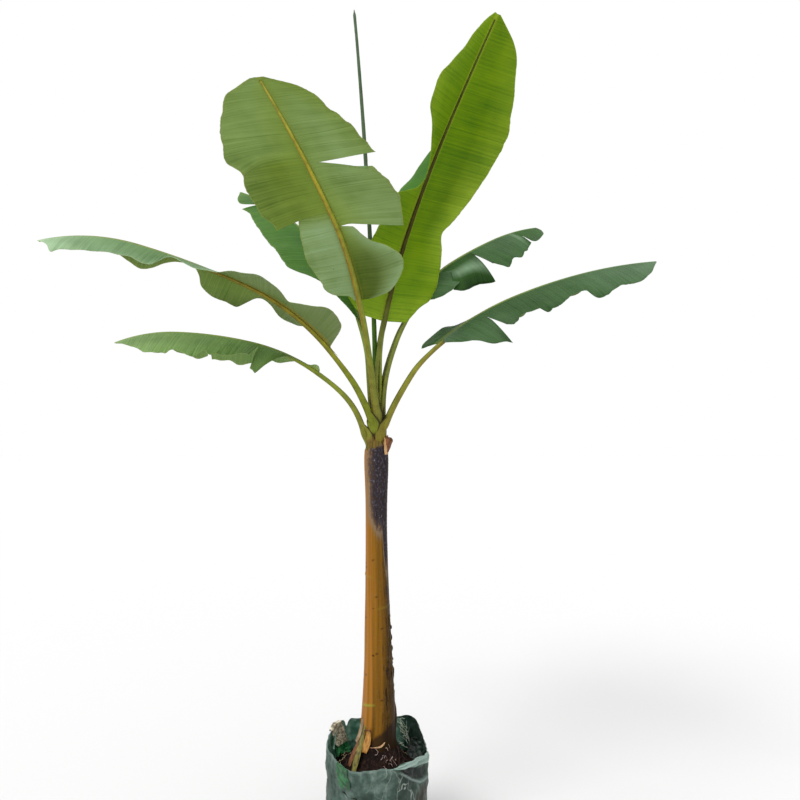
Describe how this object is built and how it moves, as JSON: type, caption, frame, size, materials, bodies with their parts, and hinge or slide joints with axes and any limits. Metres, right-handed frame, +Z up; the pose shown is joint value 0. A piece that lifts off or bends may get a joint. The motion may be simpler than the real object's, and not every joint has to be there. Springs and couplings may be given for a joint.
{
  "type": "potted banana plant",
  "caption": "Young banana plant with a tall flared stem, broad arching leaves and a rolled spear, standing in a crumpled nursery grow bag.",
  "frame": {"origin": "middle of the grow bag's flat underside", "axes": "+Z up along the stem; -Y is the front, the side with the two big upright leaves"},
  "size_m": [2.2429, 1.4219, 3.1303],
  "materials": {
    "bag_film": "dark green polythene film, crumpled, dusty and scuffed",
    "soil": "moist dark potting mix with coir fibre",
    "stem": "smooth orange-brown leaf sheaths with a charred-looking grey band near the top",
    "cut_end": "dry brown sheath with a cream cut face",
    "petiole": "waxy yellow-green stalk with a channel above",
    "leaf": "thin green blade with fine cross veins, glossy above and bloomed with wax below",
    "spear": "tightly rolled young leaf, dark green"
  },
  "bodies": {
    "root": {"grow_bag": "bag_film", "soil": "soil", "pseudostem": "stem", "cut_stub": "cut_end", "spear": "spear", "petiole_front_left": "petiole", "petiole_front_right": "petiole", "petiole_back_left": "petiole", "petiole_left_upper": "petiole", "petiole_left_lower": "petiole", "petiole_right_back": "petiole", "petiole_right_lower": "petiole", "petiole_back_right": "petiole", "leaf_front_left": "leaf", "leaf_front_right": "leaf", "leaf_back_left": "leaf", "leaf_left_upper": "leaf", "leaf_left_lower": "leaf", "leaf_right_back": "leaf", "leaf_right_lower": "leaf", "leaf_back_right": "leaf"}
  },
  "joints": []
}
